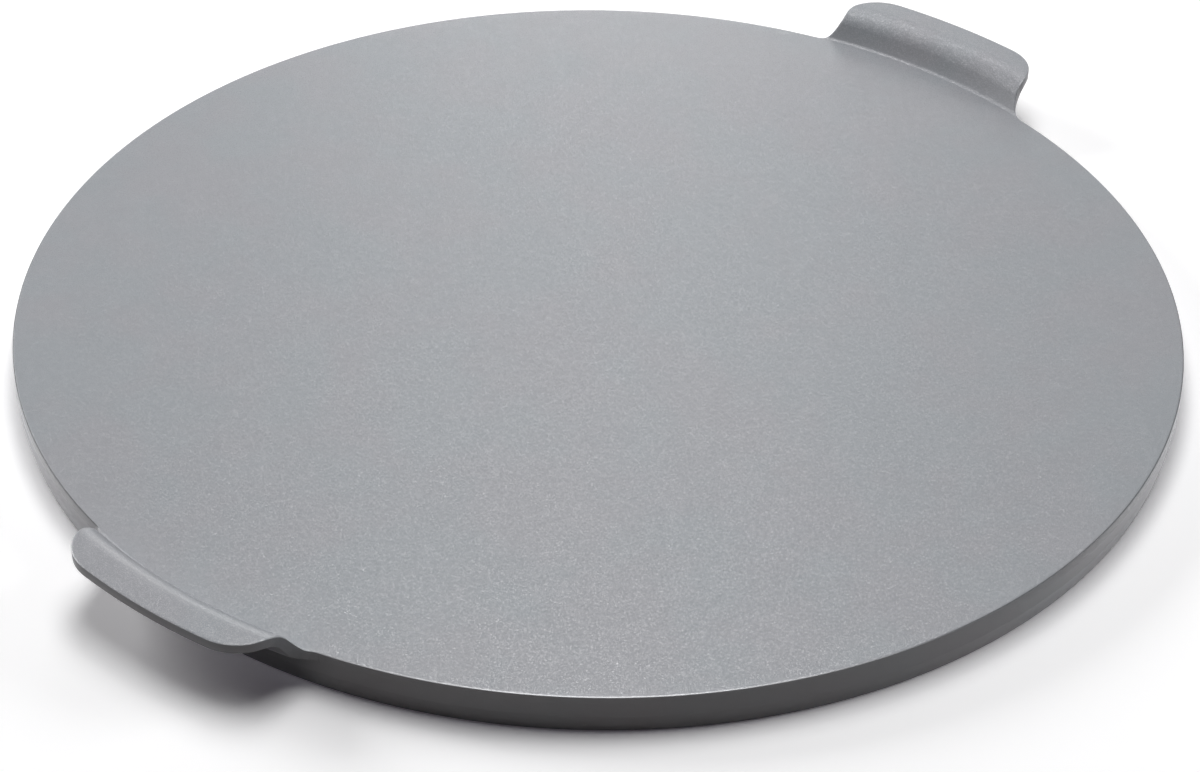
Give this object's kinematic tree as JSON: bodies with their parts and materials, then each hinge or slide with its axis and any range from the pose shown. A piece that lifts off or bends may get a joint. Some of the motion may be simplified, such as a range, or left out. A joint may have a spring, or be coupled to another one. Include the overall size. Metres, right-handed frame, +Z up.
{
  "type": "pizza pan",
  "caption": "Round flat pizza pan in coated cast aluminium, standing on a turned-down skirt, with opposite lip handles that rise from its edge.",
  "frame": {"origin": "centre of the round pan at the surface it stands on", "axes": "+Z up out of the baking surface, +X towards the right handle, so both handles lie on the X axis"},
  "size_m": [0.3934, 0.3556, 0.0226],
  "materials": {
    "coated_plate": "smooth turned surface under a satin grey non-stick coating with a fine metallic fleck",
    "coated_casting": "finely grained cast surface under the same satin grey non-stick coating"
  },
  "bodies": {
    "root": {"plate": "coated_plate", "skirt": "coated_casting", "right_handle": "coated_casting", "left_handle": "coated_casting"}
  },
  "joints": []
}
